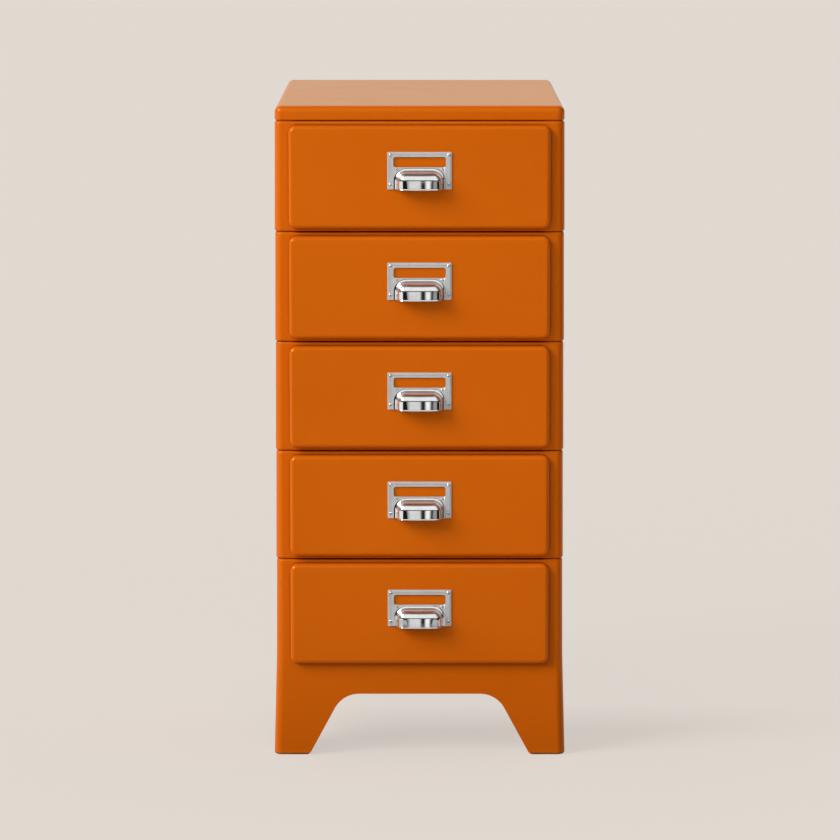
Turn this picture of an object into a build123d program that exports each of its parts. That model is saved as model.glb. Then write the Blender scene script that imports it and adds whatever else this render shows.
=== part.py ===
from build123d import *
import os
from math import radians, tan

os.makedirs("parts", exist_ok=True)

# Archive cabinet with five drawers, in millimetres.
# X runs across, Y from the front to the back, Z up from the floor.

# Stack of units
UNIT_COUNT = 5
UNIT_HEIGHT = 111.0
BASE_HEIGHT = 203.3
CAP_HEIGHT = 15.0
CAP_EDGE = 6.5
CASE_WIDTH = 290.0
CASE_DEPTH = 420.0
CASE_LEAN = 0.55
CASE_CORNER = 8.0
CASE_SHEET = 0.8
SEAM_EDGE = 2.5
FLANGE = 18.0
FLANGE_CORNER = 10.0

# Opening for a drawer in the front of each case
OPENING_SIDE = 19.5
OPENING_DROP = 9.0
OPENING_SILL = 7.0
OPENING_CORNER = 3.0
COLLAR_DEPTH = 14.0

# Legs of the base and the arches between them
FLARE = 2.8
FLARE_HEIGHT = 104.0
LEG_WIDTH = 35.8
ARCH_HEIGHT = 63.6
ARCH_SLOPE = 28.3
ARCH_CORNER = 28.0
ARCH_TOE = 7.5
ARCH_RETURN = 9.0
FOOT_FLANGE = 12.0

# Floor sheets
FLOOR_SHEET = 0.7
FLOOR_MARGIN = 3.0
FLOOR_CORNER = 9.0
BASE_FLOOR_GAP = 2.5
BASE_FLOOR_LIP = 11.0

# Drawer front, a pressed pan
FRONT_SIDE_LAP = 5.5
FRONT_TOP_LAP = 4.8
FRONT_LOW_LAP = 3.4
FRONT_THICK = 7.5
FRONT_GAP = 0.5
FRONT_CORNER = 7.5
FRONT_EDGE = 4.2
FRONT_SHEET = 0.8
FRONT_LIP = 12.0

# Drawer tray, folded sheet with a rolled rim on each side
TRAY_SHEET = 0.7
TRAY_TOP_GAP = 13.0
TRAY_LIFT = 2.5
TRAY_END_GAP = 35.0
TRAY_BEND = 2.0
TRAY_FRONT_GAP = 3.0
RIM_PLAY = 1.0
RIM_WIDTH = 13.0
RIM_HEIGHT = 8.8
RIM_BEND = 1.4
DRAWER_HOLD = 85.0

# Runner channels
RUNNER_SHEET = 1.0
RUNNER_TIP_GAP = 1.6
RUNNER_BEND = 1.6
RUNNER_PLAY = 0.3
RUNNER_LAP = 2.5
RUNNER_TAB = 8.5
STOP_WIDTH = 4.5
STOP_HEIGHT = 6.0
STOP_INSET = 2.0

# Pull: a plate with a label window and a cup-shaped hood, one pressing
PULL_SHEET = 0.8
PLATE_WIDTH = 64.4
PLATE_HEIGHT = 37.3
PLATE_DEPTH = 1.6
PLATE_CORNER = 1.2
PLATE_EDGE = 0.7
PLATE_DROP = 30.2
WINDOW_WIDTH = 52.4
WINDOW_HEIGHT = 10.3
WINDOW_DROP = 5.0
WINDOW_CORNER = 1.5
HOOD_WIDTH = 45.0
HOOD_HEIGHT = 17.4
HOOD_REACH = 13.5
HOOD_CORNER = 9.2
HOOD_EDGE = 8.3
HOOD_ROOT = 3.5
HOOD_LIP = 0.3
DIMPLE_HALF = 23.0
DIMPLE_DROP = 1.9
DIMPLE_RADIUS = 1.7
DIMPLE_DEPTH = 0.5

# Rivets of the pull
RIVET_HALF = 29.2
RIVET_TOP = 3.0
RIVET_LOW = 5.0
RIVET_HEAD = 1.7
RIVET_DOME = 0.9
RIVET_SHANK = 1.1
RIVET_PLAY = 0.05
RIVET_TAIL = 0.8

# Bolts and nuts between the units
BOLT_SIDE_INSET = 9.0
BOLT_END_INSET = 40.0
BOLT_RADIUS = 2.5
BOLT_PLAY = 0.25
BOLT_HEAD_HEIGHT = 3.5
NUT_FLATS = 8.0
NUT_HEIGHT = 4.0
NUT_PLAY = 0.05

# Places that follow from the sizes above
FRONT_REACH = FRONT_GAP + FRONT_THICK + PLATE_DEPTH + HOOD_REACH
FACE_Y = FRONT_REACH - (CASE_DEPTH + FRONT_REACH) / 2
BACK_Y = FACE_Y + CASE_DEPTH
CASE_Y = (FACE_Y + BACK_Y) / 2
CASE_FOOT = CASE_WIDTH / 2 + CASE_LEAN + FLARE
OPENING_WIDTH = CASE_WIDTH - 2 * OPENING_SIDE
OPENING_HEIGHT = UNIT_HEIGHT - OPENING_DROP - OPENING_SILL
OPENING_FOOT = OPENING_DROP + OPENING_HEIGHT
FRONT_WIDTH = OPENING_WIDTH + 2 * FRONT_SIDE_LAP
FRONT_HEIGHT = OPENING_HEIGHT + FRONT_TOP_LAP + FRONT_LOW_LAP
FRONT_DROP = OPENING_DROP - FRONT_TOP_LAP
RIM_HALF = OPENING_WIDTH / 2 - RIM_PLAY
TRAY_HALF = RIM_HALF - RIM_WIDTH
TRAY_TOP_DROP = OPENING_DROP + TRAY_TOP_GAP
TRAY_FLOOR_DROP = OPENING_FOOT - TRAY_LIFT
TRAY_LENGTH = CASE_DEPTH - TRAY_END_GAP
UNIT_TOPS = [BASE_HEIGHT + UNIT_HEIGHT * (UNIT_COUNT - 1 - n) for n in range(UNIT_COUNT)]
BOLT_SPOTS = [
    (side * (CASE_WIDTH / 2 - BOLT_SIDE_INSET), CASE_Y + end * (CASE_DEPTH / 2 - BOLT_END_INSET))
    for side in (-1, 1)
    for end in (-1, 1)
]


def block(width, depth, height, corner, low_edge=0.0, high_edge=0.0):
    """A block with rounded corners that stands on the ground plane, with its low and high edges rounded."""
    body = extrude(RectangleRounded(width, depth, corner), height)
    if high_edge:
        body = fillet(body.faces().sort_by(Axis.Z)[-1].edges(), high_edge)
    if low_edge:
        body = fillet(body.faces().sort_by(Axis.Z)[0].edges(), low_edge)
    return body


def from_front(y, z):
    """The upright plane at a depth, seen from the front, with its centre at a height."""
    return Plane((0, y, z), x_dir=(1, 0, 0), z_dir=(0, -1, 0))


def folded(points, sheet, bend, length, y):
    """A sheet folded along a line of points seen from the front, and as long as given from a depth on.

    The sheet lies to the right of the line."""
    line = FilletPolyline(*points, radius=bend)
    edge = Wire(line.edges()).offset_2d(sheet, side=Side.RIGHT, closed=True)
    return from_front(y, 0) * extrude(make_face(edge), -length)


def bolt_holes(body, low, height):
    """Cuts the four bolt holes of a flange through a body, upwards from a height."""
    for x, y in BOLT_SPOTS:
        body -= Pos(x, y, low + height / 2) * Cylinder(BOLT_RADIUS + BOLT_PLAY, height)
    return body


def flange_well(low, height):
    """The open middle of a case's turned-in flange."""
    outline = RectangleRounded(CASE_WIDTH - 2 * FLANGE, CASE_DEPTH - 2 * FLANGE, FLANGE_CORNER)
    return Pos(0, CASE_Y, low) * extrude(outline, height)


def drawer_opening(body, top):
    """Cuts the drawer opening in the front of a case and turns its edge inwards as a collar."""
    middle = top - OPENING_DROP - OPENING_HEIGHT / 2
    plane = from_front(FACE_Y, middle)
    hole = RectangleRounded(OPENING_WIDTH, OPENING_HEIGHT, OPENING_CORNER)
    rim = RectangleRounded(
        OPENING_WIDTH + 2 * CASE_SHEET, OPENING_HEIGHT + 2 * CASE_SHEET, OPENING_CORNER + CASE_SHEET
    )
    body += plane * extrude(rim, -COLLAR_DEPTH)
    return body - plane * extrude(hole, -COLLAR_DEPTH)


def leaning(inset, foot_spread, top_spread, low, high):
    """A case's form between two heights, its sides spread at the foot and at the top, inset all round."""
    outlines = [
        Pos(0, CASE_Y, z)
        * RectangleRounded(CASE_WIDTH + 2 * spread - 2 * inset, CASE_DEPTH - 2 * inset, CASE_CORNER - inset)
        for spread, z in ((foot_spread, low), (top_spread, high))
    ]
    return loft(outlines, ruled=True)


def rounded_ends(body, low, high, low_edge, high_edge):
    """A form cut level at two heights, with the edges there rounded."""
    body = split(body, Plane.XY.offset(low), keep=Keep.TOP)
    body = split(body, Plane.XY.offset(high), keep=Keep.BOTTOM)
    body = fillet(body.faces().sort_by(Axis.Z)[-1].edges(), high_edge)
    return fillet(body.faces().sort_by(Axis.Z)[0].edges(), low_edge)


def sheet_case(form, low, high, low_edge, high_edge):
    """A case of sheet all round, from the form that a function gives for an inset."""
    thin = CASE_SHEET
    outside = rounded_ends(form(0), low, high, low_edge, high_edge)
    inside = rounded_ends(form(thin), low + thin, high - thin, low_edge - thin, high_edge - thin)
    return outside, inside


def top_cap():
    """The lid: a rounded pressing with a turned-in flange below."""
    base = UNIT_TOPS[0]
    high = base + CAP_HEIGHT
    outside, inside = sheet_case(
        lambda inset: leaning(inset, 0, 0, base, high), base, high, SEAM_EDGE, CAP_EDGE
    )
    cap = outside - inside - flange_well(base, CAP_HEIGHT / 2)
    return bolt_holes(cap, base, CASE_SHEET)


def unit_case(top):
    """The case of one stacked unit, a little wider at its foot, with flanges above and below."""
    base = top - UNIT_HEIGHT
    outside, inside = sheet_case(
        lambda inset: leaning(inset, CASE_LEAN, 0, base, top), base, top, SEAM_EDGE, SEAM_EDGE
    )
    case = outside - inside - flange_well(base, UNIT_HEIGHT)
    case = drawer_opening(case, top)
    case = bolt_holes(case, base, CASE_SHEET)
    return bolt_holes(case, top - CASE_SHEET, CASE_SHEET)


def base_form(inset):
    """The base unit's form, leaning as the other units above and flared at the sides below."""
    legs = leaning(inset, CASE_LEAN + FLARE, CASE_LEAN, 0, FLARE_HEIGHT)
    return legs + leaning(inset, CASE_LEAN, 0, FLARE_HEIGHT, BASE_HEIGHT)


def arch_outline(half):
    """The arch between two legs, with the ground below it, as wide as given at the floor."""
    top = half - ARCH_HEIGHT * tan(radians(ARCH_SLOPE))
    edge = half + FOOT_FLANGE
    points = [
        (-edge, -FOOT_FLANGE),
        (-edge, 0),
        (-half, 0),
        (-top, ARCH_HEIGHT),
        (top, ARCH_HEIGHT),
        (half, 0),
        (edge, 0),
        (edge, -FOOT_FLANGE),
    ]
    outline = make_face(Polyline(*points, close=True))
    corners = outline.vertices().group_by(Axis.Y)[-1]
    outline = fillet(corners, ARCH_CORNER)
    toes = outline.vertices().filter_by(lambda v: abs(abs(v.X) - half) < 0.01 and abs(v.Y) < 0.01)
    return fillet(toes, ARCH_TOE)


def base_case():
    """The bottom unit: case, apron and four flared legs in one piece."""
    outside, inside = sheet_case(base_form, 0, BASE_HEIGHT, SEAM_EDGE, SEAM_EDGE)
    foot_well = RectangleRounded(
        2 * (CASE_FOOT - FOOT_FLANGE), CASE_DEPTH - 2 * FOOT_FLANGE, FLANGE_CORNER
    )
    shell = outside - inside - flange_well(BASE_HEIGHT - FLANGE, FLANGE)
    shell -= Pos(0, CASE_Y, 0) * extrude(foot_well, FLANGE)
    ways = [
        (Plane((0, FACE_Y, 0), x_dir=(1, 0, 0), z_dir=(0, -1, 0)), CASE_FOOT - LEG_WIDTH, CASE_DEPTH),
        (
            Plane((-CASE_FOOT, CASE_Y, 0), x_dir=(0, -1, 0), z_dir=(-1, 0, 0)),
            CASE_DEPTH / 2 - LEG_WIDTH,
            2 * CASE_FOOT,
        ),
    ]
    for plane, half, length in ways:
        outline = arch_outline(half)
        turned = offset(outline, CASE_SHEET) - outline
        near = extrude(turned, -ARCH_RETURN)
        far = Pos(0, 0, ARCH_RETURN - length) * near
        shell += outside & (plane * near)
        shell += outside & (plane * far)
    for plane, half, length in ways:
        shell -= plane * extrude(arch_outline(half), -length)
    shell = drawer_opening(shell, BASE_HEIGHT)
    return bolt_holes(shell, BASE_HEIGHT - CASE_SHEET, CASE_SHEET)


def unit_floor(top):
    """The floor sheet that lies on the lower flange of a stacked unit."""
    low = top - UNIT_HEIGHT + CASE_SHEET
    outline = RectangleRounded(CASE_WIDTH - 2 * FLOOR_MARGIN, CASE_DEPTH - 2 * FLOOR_MARGIN, FLOOR_CORNER)
    return bolt_holes(Pos(0, CASE_Y, low) * extrude(outline, FLOOR_SHEET), low, FLOOR_SHEET)


def base_floor():
    """The floor sheet of the base unit, with its edges turned down against the walls."""
    width = CASE_WIDTH + 2 * CASE_LEAN - 2 * CASE_SHEET
    depth = CASE_DEPTH - 2 * CASE_SHEET
    low = BASE_HEIGHT - OPENING_FOOT - BASE_FLOOR_GAP - BASE_FLOOR_LIP
    outside = block(width, depth, BASE_FLOOR_LIP, FLOOR_CORNER, 0, SEAM_EDGE)
    inside = block(
        width - 2 * FLOOR_SHEET,
        depth - 2 * FLOOR_SHEET,
        BASE_FLOOR_LIP - FLOOR_SHEET,
        FLOOR_CORNER - FLOOR_SHEET,
        0,
        SEAM_EDGE - FLOOR_SHEET,
    )
    return Pos(0, CASE_Y, low) * (outside - inside)


def runner(top, side):
    """A runner channel at the left (-1) or right (1) of a unit, with its stop and its rear tab."""
    web = OPENING_WIDTH / 2 + CASE_SHEET
    out = web + RUNNER_SHEET
    tip = TRAY_HALF + TRAY_SHEET + RUNNER_TIP_GAP
    high = top - TRAY_TOP_DROP + RUNNER_PLAY + RUNNER_SHEET
    low = top - TRAY_TOP_DROP - RIM_HEIGHT - RUNNER_PLAY - RUNNER_SHEET
    start = FACE_Y + COLLAR_DEPTH + RUNNER_PLAY
    end = BACK_Y - CASE_SHEET
    body = folded(
        [(tip, high), (out, high), (out, low), (tip, low)], RUNNER_SHEET, RUNNER_BEND, end - start, start
    )
    tall = high - low - 2 * RUNNER_BEND
    lap_start = FACE_Y + RUNNER_LAP
    lap = Box(RUNNER_SHEET, start - lap_start, tall)
    body += Pos(web + RUNNER_SHEET / 2, (start + lap_start) / 2, (high + low) / 2) * lap
    tab = Box(RUNNER_TAB, RUNNER_SHEET, tall)
    body += Pos(out + RUNNER_TAB / 2, end - RUNNER_SHEET / 2, (high + low) / 2) * tab
    stop_y = FACE_Y + DRAWER_HOLD - TRAY_SHEET - RUNNER_PLAY - RUNNER_SHEET / 2
    stop = Box(STOP_WIDTH, RUNNER_SHEET, STOP_HEIGHT)
    body += Pos(tip + STOP_INSET + STOP_WIDTH / 2, stop_y, low + RUNNER_SHEET + STOP_HEIGHT / 2) * stop
    return body if side > 0 else mirror(body, Plane.YZ)


def drawer_front(top):
    """The pressed front of a drawer: a pan with rounded edges and a turned-in lip behind."""
    thin = FRONT_SHEET
    outside = block(FRONT_WIDTH, FRONT_HEIGHT, FRONT_THICK, FRONT_CORNER, 0, FRONT_EDGE)
    inside = block(
        FRONT_WIDTH - 2 * thin,
        FRONT_HEIGHT - 2 * thin,
        FRONT_THICK - 2 * thin,
        FRONT_CORNER - thin,
        0,
        FRONT_EDGE - thin,
    )
    well = RectangleRounded(FRONT_WIDTH - 2 * FRONT_LIP, FRONT_HEIGHT - 2 * FRONT_LIP, FRONT_CORNER)
    pan = outside - Pos(0, 0, thin) * inside - extrude(well, FRONT_THICK / 2)
    middle = top - FRONT_DROP - FRONT_HEIGHT / 2
    pan = from_front(FACE_Y - FRONT_GAP, middle) * pan
    for x, z in rivet_spots(top):
        pan -= from_front(FACE_Y - FRONT_GAP, z) * Pos(x, 0, FRONT_THICK) * Cylinder(
            RIVET_SHANK + RIVET_PLAY, 4 * FRONT_SHEET
        )
    return pan


def drawer_tray(top):
    """The folded tray of a drawer: floor, sides with rolled rims, front wall and back wall."""
    high = top - TRAY_TOP_DROP
    floor = top - TRAY_FLOOR_DROP
    rim_low = high - RIM_HEIGHT
    half = [(RIM_HALF, rim_low), (RIM_HALF, high), (TRAY_HALF, high), (TRAY_HALF, floor)]
    points = [(-x, z) for x, z in half] + half[::-1]
    start = FACE_Y - FRONT_GAP
    end = FACE_Y + TRAY_LENGTH
    tray = folded(points, TRAY_SHEET, RIM_BEND, end - start, start)
    side = TRAY_HALF + TRAY_SHEET
    under = floor - TRAY_SHEET
    back = Polyline(
        (-RIM_HALF, rim_low),
        (-RIM_HALF, high),
        (RIM_HALF, high),
        (RIM_HALF, rim_low),
        (side, rim_low),
        (side, under),
        (-side, under),
        (-side, rim_low),
        close=True,
    )
    back_face = make_face(back)
    low_corners = back_face.vertices().group_by(Axis.Y)[0]
    back_face = fillet(low_corners, TRAY_BEND)
    high_corners = back_face.vertices().group_by(Axis.Y)[-1]
    back_face = fillet(high_corners, RIM_BEND)
    tray += from_front(end - TRAY_SHEET, 0) * extrude(back_face, -TRAY_SHEET)
    wall_high = top - OPENING_DROP - TRAY_FRONT_GAP
    wall = RectangleRounded(2 * RIM_HALF, wall_high - under, TRAY_BEND)
    tray += from_front(start, (wall_high + under) / 2) * extrude(wall, -TRAY_SHEET)
    return tray


def rivet_spots(top):
    """The four rivets of a drawer's pull, across and up."""
    low = top - PLATE_DROP - PLATE_HEIGHT
    heights = (low + RIVET_LOW, low + PLATE_HEIGHT - RIVET_TOP)
    return [(side * RIVET_HALF, z) for side in (-1, 1) for z in heights]


def hood_form(inset, level, root):
    """The hood's form and the plate round it up to a level, joined by a rounded root, inset all round."""
    reach = PLATE_DEPTH + HOOD_REACH - inset
    hood = block(
        HOOD_WIDTH - 2 * inset, 2 * (HOOD_HEIGHT - inset), reach, HOOD_CORNER - inset, 0, HOOD_EDGE - inset
    )
    slab = extrude(Rectangle(2 * PLATE_WIDTH, 2 * PLATE_WIDTH), level)
    form = slab + hood
    corner_edges = form.edges().filter_by(
        lambda e: abs(e.center().Z - level) < 0.01 and abs(e.center().X) < HOOD_WIDTH / 2 + 1
    )
    corner_edges = corner_edges.filter_by(lambda e: abs(e.center().Y) < HOOD_HEIGHT + 1)
    return Pos(0, HOOD_LIP, 0) * fillet(corner_edges, root)


def drawer_pull(top):
    """The pull, pressed from one sheet: plate, label window, hood and its flared root."""
    thin = PULL_SHEET
    plate = Pos(0, PLATE_HEIGHT / 2, 0) * block(
        PLATE_WIDTH, PLATE_HEIGHT, PLATE_DEPTH, PLATE_CORNER, 0, PLATE_EDGE
    )
    hollow = Pos(0, PLATE_HEIGHT / 2, 0) * block(
        PLATE_WIDTH - 2 * thin, PLATE_HEIGHT - 2 * thin, PLATE_DEPTH - thin, PLATE_CORNER / 2
    )
    above_lip = Pos(0, HOOD_LIP + PLATE_HEIGHT / 2, 0) * Box(
        HOOD_WIDTH + 2 * HOOD_ROOT + 2, PLATE_HEIGHT, 4 * HOOD_REACH
    )
    pull = plate + (hood_form(0, PLATE_DEPTH, HOOD_ROOT) & above_lip & Pos(0, PLATE_HEIGHT / 2, 0) * Box(
        PLATE_WIDTH - 2, PLATE_HEIGHT - 2, 4 * HOOD_REACH
    ))
    cavity = hood_form(thin, PLATE_DEPTH - thin, HOOD_ROOT + thin)
    within = Pos(0, PLATE_HEIGHT / 2, 0) * Box(
        PLATE_WIDTH - 2 * thin, PLATE_HEIGHT - 2 * thin, 4 * HOOD_REACH
    )
    below = Pos(0, thin - HOOD_HEIGHT / 2, 0) * Box(
        HOOD_WIDTH - 2 * thin, HOOD_HEIGHT, 4 * HOOD_REACH
    )
    pull = pull - hollow - (cavity & within) - (cavity & below)
    window_y = PLATE_HEIGHT - WINDOW_DROP - WINDOW_HEIGHT / 2
    pull -= Pos(0, window_y, 0) * extrude(
        RectangleRounded(WINDOW_WIDTH, WINDOW_HEIGHT, WINDOW_CORNER), 2 * PLATE_DEPTH
    )
    dimple_y = window_y - WINDOW_HEIGHT / 2 - DIMPLE_DROP
    for side in (-1, 1):
        pull -= Pos(side * DIMPLE_HALF, dimple_y, PLATE_DEPTH + DIMPLE_RADIUS - DIMPLE_DEPTH) * Sphere(
            DIMPLE_RADIUS
        )
    low = top - PLATE_DROP - PLATE_HEIGHT
    pull = from_front(FACE_Y - FRONT_GAP - FRONT_THICK, low) * pull
    for x, z in rivet_spots(top):
        pull -= from_front(FACE_Y - FRONT_GAP - FRONT_THICK, z) * Pos(x, 0, 0) * Cylinder(
            RIVET_SHANK + RIVET_PLAY, 4 * PLATE_DEPTH
        )
    return pull


def pull_rivets(top):
    """The four rivets of a pull, each with its domed head and its tail behind the drawer front."""
    ball = (RIVET_HEAD**2 + RIVET_DOME**2) / (2 * RIVET_DOME)
    head = extrude(Circle(RIVET_HEAD), RIVET_DOME) & Pos(0, 0, RIVET_DOME - ball) * Sphere(ball)
    shank = extrude(Circle(RIVET_SHANK), -PLATE_DEPTH - FRONT_SHEET)
    tail = Pos(0, 0, -PLATE_DEPTH - FRONT_SHEET) * extrude(Circle(RIVET_HEAD), -RIVET_TAIL)
    rivet = Pos(0, 0, PLATE_DEPTH) * (head + shank + tail)
    y = FACE_Y - FRONT_GAP - FRONT_THICK
    return Compound(children=[from_front(y, z) * Pos(x, 0, 0) * rivet for x, z in rivet_spots(top)])


def hexagon():
    """The outline of a bolt's head or a nut."""
    return RegularPolygon(NUT_FLATS / 2, 6, major_radius=False)


def bolt(length):
    """A bolt that hangs down from the ground plane, its hexagon head above."""
    return extrude(hexagon(), BOLT_HEAD_HEIGHT) + extrude(Circle(BOLT_RADIUS), -length)


def nut():
    """A hexagon nut that hangs below the ground plane."""
    return extrude(hexagon() - Circle(BOLT_RADIUS + NUT_PLAY), -NUT_HEIGHT)


def at_bolts(piece, heights):
    """One piece at each of the four bolt spots of each height."""
    return Compound(children=[Pos(x, y, z) * piece for z in heights for x, y in BOLT_SPOTS])


seams = UNIT_TOPS[1:]
grip = 2 * CASE_SHEET + NUT_HEIGHT + BOLT_PLAY
pieces = {
    "top_cap": top_cap(),
    "stack_bolts": at_bolts(bolt(FLOOR_SHEET + grip), [z + CASE_SHEET + FLOOR_SHEET for z in seams]),
    "stack_nuts": at_bolts(nut(), [z - CASE_SHEET for z in seams]),
    "cap_bolts": at_bolts(mirror(bolt(grip), Plane.XY), [UNIT_TOPS[0] - CASE_SHEET]),
    "cap_nuts": at_bolts(mirror(nut(), Plane.XY), [UNIT_TOPS[0] + CASE_SHEET]),
}
for number, unit_top in enumerate(UNIT_TOPS, start=1):
    last = number == UNIT_COUNT
    unit = "base" if last else f"unit_{number}"
    pieces[f"{unit}_case"] = base_case() if last else unit_case(unit_top)
    pieces[f"{unit}_floor"] = base_floor() if last else unit_floor(unit_top)
    pieces[f"{unit}_runner_left"] = runner(unit_top, -1)
    pieces[f"{unit}_runner_right"] = runner(unit_top, 1)
    pieces[f"drawer_{number}_front"] = drawer_front(unit_top)
    pieces[f"drawer_{number}_tray"] = drawer_tray(unit_top)
    pieces[f"drawer_{number}_pull"] = drawer_pull(unit_top)
    pieces[f"drawer_{number}_rivets"] = pull_rivets(unit_top)

for name, shape in pieces.items():
    export_step(shape, f"parts/{name}.step")
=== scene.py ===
"""Looks of an archive cabinet: orange enamelled steel, bright label-holder pulls, soft studio light."""

import logging
import math
from dataclasses import dataclass, field
from enum import Enum
from typing import Any

import bmesh
import bpy
from mathutils import Matrix, Vector

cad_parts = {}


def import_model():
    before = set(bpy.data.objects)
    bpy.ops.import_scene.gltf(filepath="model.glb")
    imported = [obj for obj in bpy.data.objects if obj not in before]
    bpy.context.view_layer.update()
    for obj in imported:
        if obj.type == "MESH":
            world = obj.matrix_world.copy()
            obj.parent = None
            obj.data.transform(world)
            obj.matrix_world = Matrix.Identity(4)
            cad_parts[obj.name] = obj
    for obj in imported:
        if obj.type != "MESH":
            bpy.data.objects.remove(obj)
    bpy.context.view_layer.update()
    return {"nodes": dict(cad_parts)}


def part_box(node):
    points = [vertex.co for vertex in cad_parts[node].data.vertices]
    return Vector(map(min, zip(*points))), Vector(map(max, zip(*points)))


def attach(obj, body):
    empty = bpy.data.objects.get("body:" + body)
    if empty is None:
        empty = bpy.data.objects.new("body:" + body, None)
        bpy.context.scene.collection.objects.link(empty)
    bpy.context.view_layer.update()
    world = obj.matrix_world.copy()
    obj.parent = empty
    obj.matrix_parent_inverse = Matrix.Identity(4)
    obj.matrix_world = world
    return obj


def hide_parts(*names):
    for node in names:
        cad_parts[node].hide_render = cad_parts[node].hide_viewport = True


log = logging.getLogger("cabinet")

Colour = tuple[float, float, float]
Point = tuple[float, float, float]
Range = tuple[float, float]
Levels = list[tuple[float, float]]
Socket = bpy.types.NodeSocket

DRAWERS = 5
RISING: Range = (0.0, 1.0)
FALLING: Range = (1.0, 0.0)

# What bright metal sees low round the studio: bearing in degrees from the front, and grey level.
LOW_ROUND: Levels = [
    (-180, 0.70), (-127, 0.70), (-123, 0.9), (-45, 0.9), (-41, 0.01), (-7.2, 0.01), (-6.8, 0.75),
    (0.4, 0.75), (0.8, 0.02), (3.8, 0.02), (4.1, 1.0), (6.1, 1.0), (6.6, 0.05), (9.0, 0.05),
    (14.0, 0.35), (48, 0.3), (54, 0.01), (140, 0.03), (165, 0.5), (180, 0.70),
]
# The same higher up.
HIGH_ROUND: Levels = [
    (-180, 0.70), (-127, 0.45), (-45, 0.45), (-36, 0.95), (50, 0.9), (80, 0.1), (140, 0.1),
    (165, 0.5), (180, 0.70),
]
# How much of the higher levels shows, by the height of the direction.
HIGH_SHARE: Levels = [
    (-1, 0), (0.02, 0), (0.05, 0.02), (0.16, 0.05), (0.2, 1), (0.85, 1), (0.95, 0.3), (1, 0.1),
]


class Slot(Enum):
    """Material slots of the record."""

    BRIGHT = "bright_pull"


class Side(Enum):
    """Sides of a unit that carry a runner."""

    LEFT = "left"
    RIGHT = "right"


class Tree:
    """A node tree and short ways to fill it."""

    def __init__(self, tree: bpy.types.NodeTree) -> None:
        """Takes the tree.

        Args:
            tree: the node tree of a material or a world.
        """
        self.nodes = tree.nodes
        self.links = tree.links

    def add(self, kind: str, inputs: dict[Any, Any], **settings: Any) -> bpy.types.Node:
        """Adds a node.

        Args:
            kind: the node's type.
            inputs: input name or number to a value or to an output socket.
            settings: properties of the node.

        Returns:
            The new node.
        """
        node = self.nodes.new(kind)
        for key, value in settings.items():
            setattr(node, key, value)
        for key, value in inputs.items():
            self.put(node.inputs[key], value)
        return node

    def put(self, socket: Socket, value: Any) -> None:
        """Links an output to a socket, or sets the socket's value.

        Args:
            socket: the input socket.
            value: an output socket, a number or a colour.
        """
        if isinstance(value, Socket):
            self.links.new(value, socket)
        elif isinstance(value, tuple) and len(value) == 3 and socket.type == "RGBA":
            socket.default_value = (*value, 1.0)
        else:
            socket.default_value = value

    def sum(self, operation: str, first: Any, second: Any) -> Socket:
        """Works out two numbers, such as their product.

        Args:
            operation: name of the sum.
            first: number or socket.
            second: number or socket.

        Returns:
            The result.
        """
        return self.add("ShaderNodeMath", {0: first, 1: second}, operation=operation).outputs[0]

    def vector(self, operation: str, inputs: dict[int, Any], output: str) -> Socket:
        """Works out a sum of vectors.

        Args:
            operation: name of the sum.
            inputs: the vectors, by their numbers.
            output: name of the output, Vector or Value.

        Returns:
            The result.
        """
        return self.add("ShaderNodeVectorMath", inputs, operation=operation).outputs[output]

    def span(self, value: Socket, ends: tuple[Any, Any], source: Range = RISING,
             smooth: bool = False) -> Socket:
        """Carries a value from one range to another.

        Args:
            value: the value.
            ends: what the ends of its range become, numbers or sockets.
            source: the value's range.
            smooth: whether the ends ease in.

        Returns:
            The carried value, clamped.
        """
        inputs = {"Value": value, "From Min": source[0], "From Max": source[1]}
        inputs.update({"To Min": ends[0], "To Max": ends[1]})
        kind = "SMOOTHSTEP" if smooth else "LINEAR"
        return self.add("ShaderNodeMapRange", inputs, interpolation_type=kind).outputs["Result"]

    def mix(self, share: Any, first: Any, second: Any, blend: str = "MIX") -> Socket:
        """Mixes two colours.

        Args:
            share: share of the second colour.
            first: colour or socket at 0.
            second: colour or socket at 1.
            blend: how the second colour lies on the first.

        Returns:
            The mixed colour.
        """
        inputs = {0: share, 6: first, 7: second}
        return self.add("ShaderNodeMix", inputs, data_type="RGBA", blend_type=blend).outputs[2]

    def stops(self, value: Socket, levels: Levels) -> Socket:
        """Reads a grey level off a scale of stops.

        Args:
            value: the value to look up.
            levels: the stops, each a value and its level, in order from end to end of the scale.

        Returns:
            The level, straight between the stops.
        """
        low, high = levels[0][0], levels[-1][0]
        node = self.add("ShaderNodeValToRGB", {0: self.span(value, RISING, (low, high))})
        elements = node.color_ramp.elements
        while len(elements) < len(levels):
            elements.new(1.0)
        top = max(level for _, level in levels)
        for element, (place, level) in zip(elements, levels):
            element.position = (place - low) / (high - low)
            element.color = (level / top, level / top, level / top, 1.0)
        return self.sum("MULTIPLY", node.outputs["Color"], top)

    def apart(self, place: Socket) -> bpy.types.bpy_prop_collection:
        """The three coordinates of a point or direction, by name."""
        return self.add("ShaderNodeSeparateXYZ", {0: place}).outputs

    def bearing(self, place: Socket) -> Socket:
        """Reads how far round a point or direction lies.

        Args:
            place: the point or direction.

        Returns:
            Its angle in degrees from the front, positive to the right.
        """
        parts = self.apart(place)
        angle = self.sum("ARCTAN2", parts["X"], self.sum("MULTIPLY", parts["Y"], -1.0))
        return self.sum("DEGREES", angle, 0.0)


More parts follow.
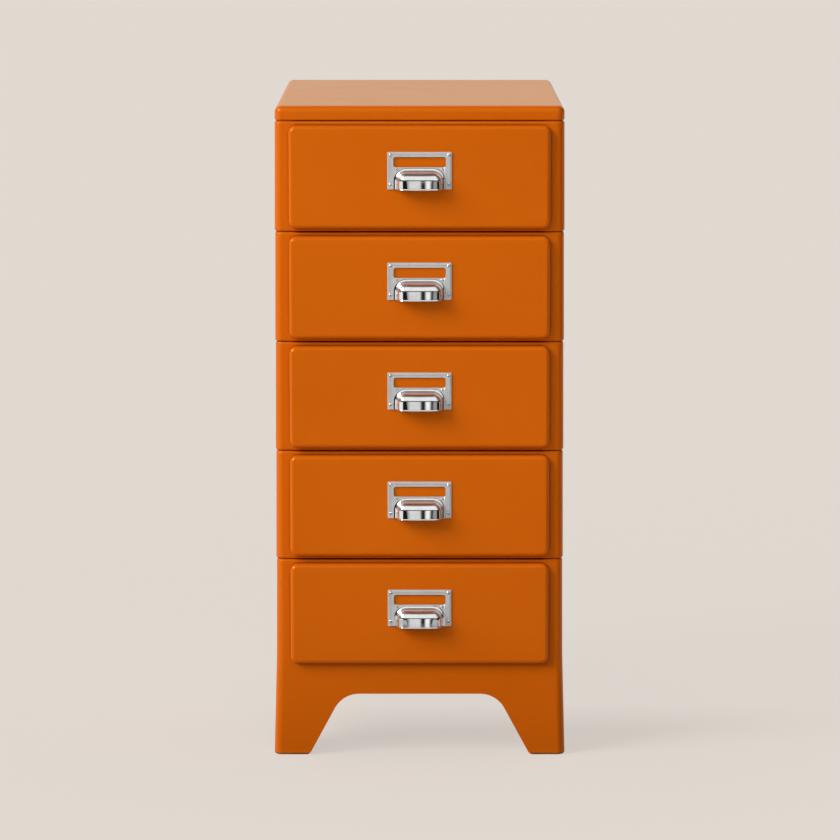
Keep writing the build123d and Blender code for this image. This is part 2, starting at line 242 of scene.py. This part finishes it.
class Shader(Tree):
    """The node tree of one material, on Object coordinates in metres."""

    def __init__(self, name: str) -> None:
        """Starts a material with its surface shader.

        Args:
            name: the material's name.
        """
        self.material = bpy.data.materials.new(name)
        self.material.use_nodes = True
        super().__init__(self.material.node_tree)
        self.surface = next(n for n in self.nodes if n.type == "BSDF_PRINCIPLED")
        self.inputs = self.surface.inputs
        self.output = next(n for n in self.nodes if n.type == "OUTPUT_MATERIAL")
        self.place = self.nodes.new("ShaderNodeTexCoord").outputs["Object"]

    def noise(self, scale: float, detail: float = 2.0) -> Socket:
        """Cloudy noise from 0 to 1.

        Args:
            scale: clouds per metre.
            detail: octaves of finer noise.

        Returns:
            The noise value.
        """
        inputs = {"Vector": self.place, "Scale": scale, "Detail": detail}
        return self.add("ShaderNodeTexNoise", inputs).outputs["Fac"]

    def bump(self, height: Socket, strength: float, depth: float) -> None:
        """Raises the surface by a height.

        Args:
            height: height from 0 to 1.
            strength: strength of the bump.
            depth: height in metres at 1.
        """
        inputs = {"Height": height, "Strength": strength, "Distance": depth}
        self.put(self.inputs["Normal"], self.add("ShaderNodeBump", inputs).outputs["Normal"])


@dataclass(frozen=True)
class Enamel:
    """Gloss enamel baked on pressed sheet steel."""

    name: str
    colour: Colour
    deep: Colour
    drift_scale: float = 5.0
    drift_detail: float = 3.0
    cloud: Range = (0.3, 0.7)
    fleck_scale: float = 900.0
    fleck: Range = (0.62, 0.75)
    fleck_share: float = 0.3
    # painted shade: a dark red-brown laid in where ambient occlusion finds close surfaces, full across the
    # drawers and weaker out on the stiles
    painted_shade: Colour = (0.085, 0.006, 0.0004)
    shade_reach: float = 0.007
    shade_samples: int = 8
    shade_open: Range = (0.42, 0.66)
    stile_shade_share: float = 0.6
    stile_shade_place: Range = (0.124, 0.132)
    gloss: Range = (0.17, 0.185)
    gloss_scale: float = 14.0
    gloss_detail: float = 4.0
    shine: float = 0.6
    tint: Colour = (1.0, 0.5, 0.05)
    peel: float = 0.01
    peel_scale: float = 420.0
    peel_depth: float = 0.0002

    def material(self) -> bpy.types.Material:
        """Builds the enamel: drifting tone, painted shade in the crevices, uneven gloss and orange peel.

        Returns:
            The material.
        """
        shader = Shader(self.name)
        shader.inputs["Specular IOR Level"].default_value = self.shine
        shader.put(shader.inputs["Specular Tint"], self.tint)
        drift = shader.span(shader.noise(self.drift_scale, self.drift_detail), RISING, self.cloud)
        fleck = shader.span(shader.noise(self.fleck_scale), (0.0, self.fleck_share), self.fleck)
        tone = shader.mix(fleck, shader.mix(drift, self.colour, self.deep), self.deep)
        # Painted shade: ambient occlusion darkens the tone towards the dark red-brown in grooves and corners,
        # less so out on the stiles.
        near = shader.add("ShaderNodeAmbientOcclusion", {"Distance": self.shade_reach},
                          samples=self.shade_samples)
        painted_shade = shader.span(near.outputs["AO"], FALLING, self.shade_open)
        across = shader.sum("ABSOLUTE", shader.apart(shader.place)["X"], 0.0)
        stile = shader.span(across, (1.0, self.stile_shade_share), self.stile_shade_place)
        painted_shade = shader.sum("MULTIPLY", painted_shade, stile)
        shader.put(shader.inputs["Base Color"], shader.mix(painted_shade, tone, self.painted_shade))
        gloss = shader.span(shader.noise(self.gloss_scale, self.gloss_detail), self.gloss, self.cloud)
        shader.put(shader.inputs["Roughness"], gloss)
        shader.bump(shader.noise(self.peel_scale), self.peel, self.peel_depth)
        return shader.material


@dataclass(frozen=True)
class Bright:
    """Nickel-bright pressed steel, satin or polished."""

    name: str
    colour: Colour
    dull: float
    grain: float
    metal: float = 1.0
    smudge_scale: float = 120.0
    smudge_detail: float = 3.0
    smudge: Range = (0.35, 0.7)
    smudge_tone: float = 0.9
    smudge_dull: float = 1.3
    grain_scale: float = 2600.0
    grain_depth: float = 0.00005

    def material(self) -> bpy.types.Material:
        """Builds the metal: fine grain, smudges and hairline unevenness.

        Returns:
            The material.
        """
        shader = Shader(self.name)
        shader.inputs["Metallic"].default_value = self.metal
        smudge = shader.span(shader.noise(self.smudge_scale, self.smudge_detail), RISING, self.smudge)
        dark = tuple(self.smudge_tone * part for part in self.colour)
        shader.put(shader.inputs["Base Color"], shader.mix(smudge, self.colour, dark))
        shader.put(shader.inputs["Roughness"], shader.span(smudge, (self.dull, self.smudge_dull * self.dull)))
        shader.bump(shader.noise(self.grain_scale), self.grain, self.grain_depth)
        return shader.material


@dataclass(frozen=True)
class Zinc:
    """Zinc-plated steel of runners, bolts and nuts."""

    name: str
    pale: Colour
    dark: Colour
    spangle_scale: float = 260.0
    spangle: Range = (0.1, 0.9)
    dull: Range = (0.34, 0.5)
    grain: float = 0.15
    grain_scale: float = 1800.0
    grain_depth: float = 0.0001

    def material(self) -> bpy.types.Material:
        """Builds the plating: spangles and a fine grain.

        Returns:
            The material.
        """
        shader = Shader(self.name)
        shader.inputs["Metallic"].default_value = 1.0
        spangle = shader.add("ShaderNodeTexVoronoi", {"Vector": shader.place, "Scale": self.spangle_scale})
        flake = shader.span(spangle.outputs["Color"], RISING, self.spangle)
        shader.put(shader.inputs["Base Color"], shader.mix(flake, self.pale, self.dark))
        shader.put(shader.inputs["Roughness"], shader.span(flake, self.dull))
        shader.bump(shader.noise(self.grain_scale), self.grain, self.grain_depth)
        return shader.material


ORANGE = Enamel("orange_enamel", colour=(0.60, 0.112, 0.003), deep=(0.57, 0.104, 0.0025))
# the drawer fronts take the same enamel with less painted shade in their corners
FRONT_ORANGE = Enamel("front_enamel", colour=ORANGE.colour, deep=ORANGE.deep, shade_open=(0.1, 0.25))
SATIN = Bright("satin_nickel", colour=(0.63, 0.63, 0.62), dull=0.34, grain=0.25, metal=0.4)
POLISHED = Bright("polished_nickel", colour=(0.90, 0.895, 0.89), dull=0.03, grain=0.01)
RIVET = Bright("rivet_steel", colour=(0.66, 0.66, 0.66), dull=0.16, grain=0.05, metal=0.85)
ZINC = Zinc("zinc_plate", pale=(0.62, 0.62, 0.62), dark=(0.44, 0.45, 0.47))


@dataclass
class Finishes:
    """The finishes of the cabinet, made once and shared."""

    enamel: bpy.types.Material = field(default_factory=ORANGE.material)
    front: bpy.types.Material = field(default_factory=FRONT_ORANGE.material)
    satin: bpy.types.Material = field(default_factory=SATIN.material)
    polished: bpy.types.Material = field(default_factory=POLISHED.material)
    rivet: bpy.types.Material = field(default_factory=RIVET.material)
    zinc: bpy.types.Material = field(default_factory=ZINC.material)


def coat(node: bpy.types.Object, *materials: bpy.types.Material) -> None:
    """Gives a solid its finishes.

    Args:
        node: the object.
        materials: its finishes, in the order of its faces' indices.
    """
    node.data.materials.clear()
    for material in materials:
        node.data.materials.append(material)


def show(name: str, data: Any) -> bpy.types.Object:
    """Puts a new object in the scene.

    Args:
        name: its name.
        data: its mesh, lamp or camera.

    Returns:
        The object.
    """
    thing = bpy.data.objects.new(name, data)
    bpy.context.scene.collection.objects.link(thing)
    return thing


@dataclass
class Carcass:
    """Lid, stacked cases, base, floors, runners and the fasteners between them."""

    nodes: dict[str, bpy.types.Object]
    finishes: Finishes

    def build(self) -> None:
        """Dresses every fixed solid."""
        units = [f"unit_{n}" for n in range(1, DRAWERS)] + ["base"]
        painted = ["top_cap"] + [f"{unit}_{piece}" for unit in units for piece in ("case", "floor")]
        plated = ["stack_bolts", "stack_nuts", "cap_bolts", "cap_nuts"]
        plated += [f"{unit}_runner_{side.value}" for unit in units for side in Side]
        for names, finish in ((painted, self.finishes.enamel), (plated, self.finishes.zinc)):
            for name in names:
                coat(self.nodes[name], finish)
            log.info("%s on %s", finish.name, ", ".join(names))


@dataclass
class Pull:
    """The label-holder pull of one drawer: a satin plate with a window and a polished, flared hood.

    It is modelled lying down, across in X, up in Y from the plate's foot and out in Z from the drawer.
    """

    finishes: Finishes
    # plate and its border
    plate_width: float = 0.0644
    plate_height: float = 0.0373
    plate_depth: float = 0.0016
    plate_corner: float = 0.0012
    plate_edge: float = 0.0005
    edge_steps: int = 3
    border: float = 0.0014
    border_rise: float = 0.00025
    # label window
    window_width: float = 0.0524
    window_height: float = 0.0103
    window_drop: float = 0.0050
    window_corner: float = 0.0023
    corner_steps: int = 4
    # hood and its lip
    hood_width: float = 0.0450
    hood_height: float = 0.0174
    hood_reach: float = 0.0131
    hood_corner: float = 0.0092
    hood_corner_steps: int = 14
    hood_edge: float = 0.0083
    hood_root: float = 0.0035
    hood_steps: int = 10
    hood_crown: float = 0.0005
    crown_cuts: int = 12
    lip_flare: float = 0.0004
    lip_rise: float = 0.0016
    lip_rows: int = 4
    # dimples
    dimple_half: float = 0.0230
    dimple_drop: float = 0.0019
    dimple_radius: float = 0.0013
    dimple_depth: float = 0.0004
    dimple_sides: int = 20
    dimple_steps: tuple[float, ...] = (0.2, 0.25, 0.25)
    # sheet, and limits in degrees, as a cosine and in metres
    sheet: float = 0.0007
    sharp: float = 40.0
    flat: float = 0.99999
    tiny: float = 1e-5

    def outline(self, bm: bmesh.types.BMesh, width: float, height: float, corner: float, middle: float,
                segments: int) -> bmesh.types.BMFace:
        """Lays a rounded rectangle on the plate's level.

        Args:
            bm: the mesh.
            width: size across.
            height: size up.
            corner: radius of its corners.
            middle: height of its centre above the plate's foot.
            segments: steps in each corner.

        Returns:
            The face.
        """
        corners = bmesh.ops.create_grid(bm, x_segments=1, y_segments=1, size=0.5)["verts"]
        bmesh.ops.scale(bm, vec=(width, height, 1.0), verts=corners)
        bmesh.ops.translate(bm, vec=(0.0, middle, self.plate_depth), verts=corners)
        rounded = bmesh.ops.bevel(bm, geom=corners, offset=corner, affect="VERTICES", segments=segments,
                                  profile=0.5, material=-1)
        return rounded["verts"][0].link_faces[0]

    def step(self, bm: bmesh.types.BMesh, face: bmesh.types.BMFace, thickness: float, depth: float) -> None:
        """Insets a face and raises or sinks it.

        Args:
            bm: the mesh.
            face: the face.
            thickness: width of the inset.
            depth: how far the face rises.
        """
        bmesh.ops.inset_region(bm, faces=[face], thickness=thickness, depth=depth, use_boundary=True,
                               use_even_offset=True)

    def hood(self, bm: bmesh.types.BMesh) -> None:
        """Raises the hood and its mirror image below the foot in steps: flared root, wall and rounded edge.

        Args:
            bm: the mesh.
        """
        root, edge, steps = self.hood_root, self.hood_edge, self.hood_steps
        width = self.hood_width + 2 * root
        height = 2 * (self.hood_height + root)
        cap = self.outline(bm, width, height, self.hood_corner + root, 0.0, self.hood_corner_steps)
        turns = [math.pi / 2 * n / steps for n in range(steps + 1)]
        profile = [(root * math.sin(a), root * (1 - math.cos(a))) for a in turns]
        shoulder = self.hood_reach - edge
        profile += [(root + edge * (1 - math.cos(a)), shoulder + edge * math.sin(a)) for a in turns]
        for (inner, low), (outer, high) in zip(profile, profile[1:]):
            self.step(bm, cap, max(outer - inner, self.tiny), high - low)
        half = self.hood_width / 2 - edge
        for n in range(1, self.crown_cuts):
            self.cut(bm, ((2 * n / self.crown_cuts - 1) * half, 0.0, 0.0), (1.0, 0.0, 0.0))
        for vert in bm.verts:
            rise = (vert.co.z - self.plate_depth) / self.hood_reach
            vert.co.z -= rise * self.hood_crown * (vert.co.x / half) ** 2
        for face in bm.faces:
            face.material_index = 1

    def cut(self, bm: bmesh.types.BMesh, place: Point, normal: Point, clear: bool = False) -> None:
        """Cuts the mesh along a plane.

        Args:
            bm: the mesh.
            place: a point of the plane.
            normal: its normal.
            clear: whether the side that the normal points to is taken away.
        """
        geometry = [*bm.verts, *bm.edges, *bm.faces]
        bmesh.ops.bisect_plane(bm, geom=geometry, plane_co=place, plane_no=normal, clear_outer=clear)

    def plate(self, bm: bmesh.types.BMesh) -> None:
        """Fills the plate round the hood, the window and the two pressed dimples, inside a lower border.

        Args:
            bm: the mesh.
        """
        tall = 2 * self.plate_height
        inner = self.outline(bm, self.plate_width, tall, self.plate_corner, 0.0, self.corner_steps)
        bmesh.ops.translate(bm, vec=(0.0, 0.0, -self.border_rise), verts=inner.verts)
        self.step(bm, inner, self.border, 0.0)
        self.step(bm, inner, self.border_rise, self.border_rise)
        window_middle = self.plate_height - self.window_drop - self.window_height / 2
        window = self.outline(bm, self.window_width, self.window_height, self.window_corner, window_middle,
                              self.corner_steps)
        level = self.plate_depth - self.tiny
        edges = [edge for edge in bm.edges if edge.is_boundary and edge.verts[0].co.z > level]
        edges += list(inner.edges)
        bmesh.ops.delete(bm, geom=[inner, window], context="FACES_ONLY")
        dimple_middle = window_middle - self.window_height / 2 - self.dimple_drop
        for side in (-1, 1):
            place = Matrix.Translation((side * self.dimple_half, dimple_middle, self.plate_depth))
            circle = bmesh.ops.create_circle(bm, cap_ends=True, segments=self.dimple_sides,
                                             radius=self.dimple_radius, matrix=place)
            pit = circle["verts"][0].link_faces[0]
            edges += list(pit.edges)
            for share in self.dimple_steps:
                self.step(bm, pit, share * self.dimple_radius, -self.dimple_depth / len(self.dimple_steps))
        bmesh.ops.triangle_fill(bm, use_beauty=True, use_dissolve=False, edges=edges, normal=(0.0, 0.0, 1.0))

    def rim(self, bm: bmesh.types.BMesh) -> None:
        """Turns the plate's edge back to the drawer and rounds it.

        Args:
            bm: the mesh.
        """
        near = self.tiny + self.plate_corner
        flare = self.hood_width / 2 + self.hood_root - self.tiny
        outer = []
        for edge in bm.edges:
            middle = (edge.verts[0].co + edge.verts[1].co) / 2
            side = abs(middle.x) > self.plate_width / 2 - near
            foot = middle.y < self.tiny and abs(middle.x) > flare
            if edge.is_boundary and (side or foot or middle.y > self.plate_height - near):
                outer.append(edge)
        turned = bmesh.ops.extrude_edge_only(bm, edges=outer)["geom"]
        verts = [item for item in turned if isinstance(item, bmesh.types.BMVert)]
        bmesh.ops.translate(bm, vec=(0.0, 0.0, self.border_rise - self.plate_depth), verts=verts)
        rounded = [edge for edge in outer if edge.verts[0].co.y + edge.verts[1].co.y > self.tiny]
        bmesh.ops.bevel(bm, geom=rounded, offset=self.plate_edge, affect="EDGES", segments=self.edge_steps,
                        profile=0.5, material=-1, clamp_overlap=True)

    def lip(self, bm: bmesh.types.BMesh) -> None:
        """Turns the hood's lower edge out a little.

        Args:
            bm: the mesh.
        """
        for n in range(1, self.lip_rows + 1):
            self.cut(bm, (0.0, self.lip_rise * n / self.lip_rows, 0.0), (0.0, 1.0, 0.0))
        bm.normal_update()
        wall = self.plate_depth + self.hood_root
        for vert in [v for v in bm.verts if v.co.y < self.lip_rise and v.co.z > wall]:
            share = (1 - vert.co.y / self.lip_rise) ** 2 * min(1.0, (vert.co.z - wall) / self.hood_root)
            out = Vector((vert.normal.x, 0.0, vert.normal.z))
            vert.co += out.normalized() * (self.lip_flare * share)

    def build(self, number: int) -> None:
        """Models the pull of a drawer and sets it on the drawer's front.

        Args:
            number: the drawer's number, from the top.
        """
        name = f"drawer_{number}"
        bm = bmesh.new()
        self.hood(bm)
        self.plate(bm)
        self.cut(bm, (0.0, 0.0, 0.0), (0.0, -1.0, 0.0), clear=True)
        self.lip(bm)
        self.rim(bm)
        bmesh.ops.recalc_face_normals(bm, faces=bm.faces)
        low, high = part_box(f"{name}_pull")
        upright = Matrix.Rotation(math.pi / 2, 3, "X")
        bmesh.ops.rotate(bm, cent=(0.0, 0.0, 0.0), matrix=upright, verts=bm.verts)
        bmesh.ops.translate(bm, vec=(0.0, high[1], low[2]), verts=bm.verts)
        for face in bm.faces:
            face.smooth = abs(face.normal.y) < self.flat
        for edge in bm.edges:
            edge.smooth = edge.calc_face_angle(0.0) < math.radians(self.sharp)
        mesh = bpy.data.meshes.new(f"{name}_bright_pull")
        piece = show(mesh.name, mesh)
        coat(piece, self.finishes.satin, self.finishes.polished)
        bm.to_mesh(mesh)
        bm.free()
        wall = piece.modifiers.new("sheet", "SOLIDIFY")
        wall.thickness = self.sheet
        wall.offset = -1.0
        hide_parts(f"{name}_pull")
        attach(piece, name)
        log.info("%s pull, %d faces", name, len(mesh.polygons))


@dataclass
class Drawer:
    """One drawer: pressed front, folded tray, pull and rivets."""

    number: int
    nodes: dict[str, bpy.types.Object]
    finishes: Finishes

    def build(self) -> None:
        """Dresses the drawer's solids and hangs its pull."""
        name = f"drawer_{self.number}"
        coat(self.nodes[f"{name}_front"], self.finishes.front)
        coat(self.nodes[f"{name}_tray"], self.finishes.enamel)
        coat(self.nodes[f"{name}_rivets"], self.finishes.rivet)
        Pull(self.finishes).build(self.number)
        log.info("%s dressed", name)


@dataclass
class Studio:
    """Pale paper floor and backdrop, key light from the left, soft dome in front, flags and camera."""

    # camera
    face_y: float = -0.19845
    distance: float = 4.020
    height: float = 0.9409
    side: float = 0.0004
    pitch: float = 0.147
    lens: float = 172.63
    sensor: float = 36.0
    clip_end: float = 200.0
    # floor and backdrop, with reaches in metres from the cabinet's middle
    backdrop: Colour = (0.752, 0.697, 0.640)
    floor_size: float = 120.0
    paper: Colour = (0.72, 0.66, 0.60)
    # painted shade: near the cabinet the floor is dark to bounced light only, which takes light off the base
    # and the legs
    near_floor: Colour = (0.25, 0.23, 0.21)
    dim_floor: Colour = (0.68, 0.62, 0.57)
    dim_reach: Range = (0.31, 0.44)
    # painted light: under the cabinet the floor's glow hides more of its real shadow towards the back than at
    # the front
    under_share: Range = (0.77, 0.94)
    under_place: Range = (-0.09, 0.04)
    far_share: float = 0.94
    far_reach: Range = (0.25, 0.6)
    far_gain: float = 1.012
    gain_reach: Range = (0.8, 4.0)
    # flags, with reaches in metres from the pulls
    flag_near: float = 0.15
    flag_plain: float = 0.5
    plain_reach: Range = (0.45, 0.6)
    flag_start: Range = (0.8, 1.1)
    flag_reach: float = 50.0
    flag_height: float = 0.001
    pull_y: float = -0.215
    # dome and studio, with places on the unit sphere
    dome_axis: Point = (-0.40, -0.84, 0.37)
    dome: Range = (0.10, 0.395)
    dome_width: Range = (0.35, 0.85)
    dark: float = 0.05
    horizon: Range = (-0.02, 0.15)
    behind: Colour = (0.55, 0.52, 0.49)
    behind_place: Range = (-0.2, 0.3)
    low_rise: Range = (0.02, 0.05)
    wall: Colour = (0.72, 0.58, 0.40)
    wall_place: Range = (0.55, 0.65)
    # lamps
    key_from: Point = (-0.742, -0.411, 0.530)
    key_strength: float = 2.67
    key_angle: float = 32.0
    window_strength: float = 2.6
    window_angle: float = 22.0
    front_place: Point = (-0.6, -1.45, 1.35)
    front_aim: Point = (0.0, -0.2, 0.35)
    front_size: float = 1.8
    front_power: float = 9.4

    def build(self) -> None:
        """Sets the floor, the lights, the surroundings and the camera."""
        self.floor()
        self.flags()
        self.surroundings()
        self.key("key", self.key_strength, self.key_angle, False)
        self.key("key_window", self.window_strength, self.window_angle, True)
        self.front()
        self.camera()
        bpy.context.scene.view_settings.view_transform = "Standard"

    def floor(self) -> None:
        """Lays a wide sheet of pale paper, seen a little brighter than its shadow would leave it."""
        bpy.ops.mesh.primitive_plane_add(size=self.floor_size)
        plane = bpy.context.object
        plane.name = "floor"
        shader = Shader("floor_paper")
        path = shader.nodes.new("ShaderNodeLightPath").outputs
        seen = shader.sum("MAXIMUM", path["Is Camera Ray"], path["Is Glossy Ray"])
        seen = shader.sum("MAXIMUM", seen, path["Is Transmission Ray"])
        away = shader.vector("LENGTH", {0: shader.place}, "Value")
        # Painted shade: the floor turns dark to bounced light near the cabinet, so the base and legs get less
        # light.
        bounce = shader.mix(shader.span(away, RISING, self.dim_reach), self.near_floor, self.dim_floor)
        shader.put(shader.inputs["Base Color"], shader.mix(seen, bounce, self.paper))
        shader.inputs["Roughness"].default_value = 1.0
        shader.inputs["Specular IOR Level"].default_value = 0.0
        gain = shader.span(away, (1.0, self.far_gain), self.gain_reach)
        glow = shader.add("ShaderNodeEmission", {"Color": self.backdrop, "Strength": gain}).outputs[0]
        # Painted light: under the cabinet the glow's share grows towards the back, so the real shadow shows
        # less there.
        under = shader.span(shader.apart(shader.place)["Y"], self.under_share, self.under_place)
        share = shader.sum("MULTIPLY", seen, shader.span(away, (under, self.far_share), self.far_reach))
        mix = shader.add("ShaderNodeMixShader", {0: share, 1: shader.surface.outputs[0], 2: glow})
        shader.put(shader.output.inputs["Surface"], mix.outputs[0])
        coat(plane, shader.material)

    def flags(self) -> None:
        """Lays the dark and pale flags before the cabinet that its bright metal shows."""
        bm = bmesh.new()
        half = self.flag_reach / 2
        corners = bmesh.ops.create_grid(bm, x_segments=1, y_segments=1, size=half)["verts"]
        bmesh.ops.translate(bm, vec=(0.0, self.pull_y - half, self.flag_height), verts=corners)
        mesh = bpy.data.meshes.new("flags")
        bm.to_mesh(mesh)
        bm.free()
        sheet = show("flags", mesh)
        sheet.visible_camera = False
        sheet.visible_diffuse = False
        sheet.visible_shadow = False
        shader = Shader("flags")
        place = shader.vector("SUBTRACT", {0: shader.place, 1: (0.0, self.pull_y, 0.0)}, "Vector")
        away = shader.vector("LENGTH", {0: place}, "Value")
        pattern = shader.stops(shader.bearing(place), LOW_ROUND)
        level = shader.span(away, (self.flag_plain, pattern), self.flag_start)
        level = shader.span(away, (self.flag_near, level), self.plain_reach)
        glow = shader.add("ShaderNodeEmission", {"Color": level, "Strength": 1.0})
        shader.put(shader.output.inputs["Surface"], glow.outputs[0])
        coat(sheet, shader.material)

    def surroundings(self) -> None:
        """Sets the light of a soft dome in front, what gloss shows of the studio, and the backdrop."""
        world = bpy.data.worlds.new("studio")
        bpy.context.scene.world = world
        world.use_nodes = True
        tree = Tree(world.node_tree)
        way = tree.nodes.new("ShaderNodeTexCoord").outputs["Generated"]
        parts = tree.apart(way)
        back, rise = parts["Y"], parts["Z"]
        toward = tree.vector("DOT_PRODUCT", {0: way, 1: self.dome_axis}, "Value")
        dome = tree.span(toward, self.dome, self.dome_width, True)
        light = tree.sum("MULTIPLY", dome, tree.span(rise, (self.dark, 1.0), self.horizon, True))
        light = tree.mix(tree.span(back, RISING, self.behind_place, True), light, self.behind)
        angle = tree.bearing(way)
        high = tree.mix(1.0, tree.stops(angle, HIGH_ROUND), tree.stops(rise, HIGH_SHARE), "MULTIPLY")
        shown = tree.mix(tree.span(rise, FALLING, self.low_rise), high, tree.stops(angle, LOW_ROUND))
        shown = tree.mix(tree.span(back, RISING, self.wall_place), shown, self.wall)
        path = tree.nodes.new("ShaderNodeLightPath").outputs
        light = tree.mix(path["Is Glossy Ray"], light, shown)
        seen = tree.sum("MAXIMUM", path["Is Camera Ray"], path["Is Transmission Ray"])
        tree.put(tree.nodes["Background"].inputs["Color"], tree.mix(seen, light, self.backdrop))

    def key(self, name: str, strength: float, angle: float, gloss: bool) -> None:
        """Hangs a soft light high on the left.

        Args:
            name: the lamp's name.
            strength: its strength.
            angle: how wide it looks, in degrees.
            gloss: whether it shows in gloss only, or everywhere else.
        """
        data = bpy.data.lights.new(name, "SUN")
        data.energy = strength
        data.angle = math.radians(angle)
        lamp = show(name, data)
        lamp.rotation_euler = (-Vector(self.key_from)).to_track_quat("-Z", "Y").to_euler()
        lamp.visible_glossy = gloss
        lamp.visible_diffuse = not gloss

    def front(self) -> None:
        """Hangs a soft box above the camera's line, so that the light falls off down the front."""
        data = bpy.data.lights.new("front", "AREA")
        data.energy = self.front_power
        data.size = self.front_size
        lamp = show("front", data)
        lamp.location = self.front_place
        aim = Vector(self.front_aim) - Vector(self.front_place)
        lamp.rotation_euler = aim.to_track_quat("-Z", "Y").to_euler()
        lamp.visible_glossy = False

    def camera(self) -> None:
        """Sets the camera in front of the cabinet, a little above its lid."""
        data = bpy.data.cameras.new("camera")
        data.lens = self.lens
        data.sensor_width = self.sensor
        data.clip_end = self.clip_end
        camera = show("camera", data)
        camera.location = (self.side, self.face_y - self.distance, self.height)
        camera.rotation_euler = (math.pi / 2 - self.pitch, 0.0, 0.0)
        bpy.context.scene.camera = camera


def main() -> None:
    """Builds the cabinet's looks and the studio."""
    logging.basicConfig(level=logging.INFO)
    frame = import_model()
    finishes = Finishes()
    Carcass(frame["nodes"], finishes).build()
    for number in range(1, DRAWERS + 1):
        Drawer(number, frame["nodes"], finishes).build()
    Studio().build()


if __name__ == "__main__":
    main()
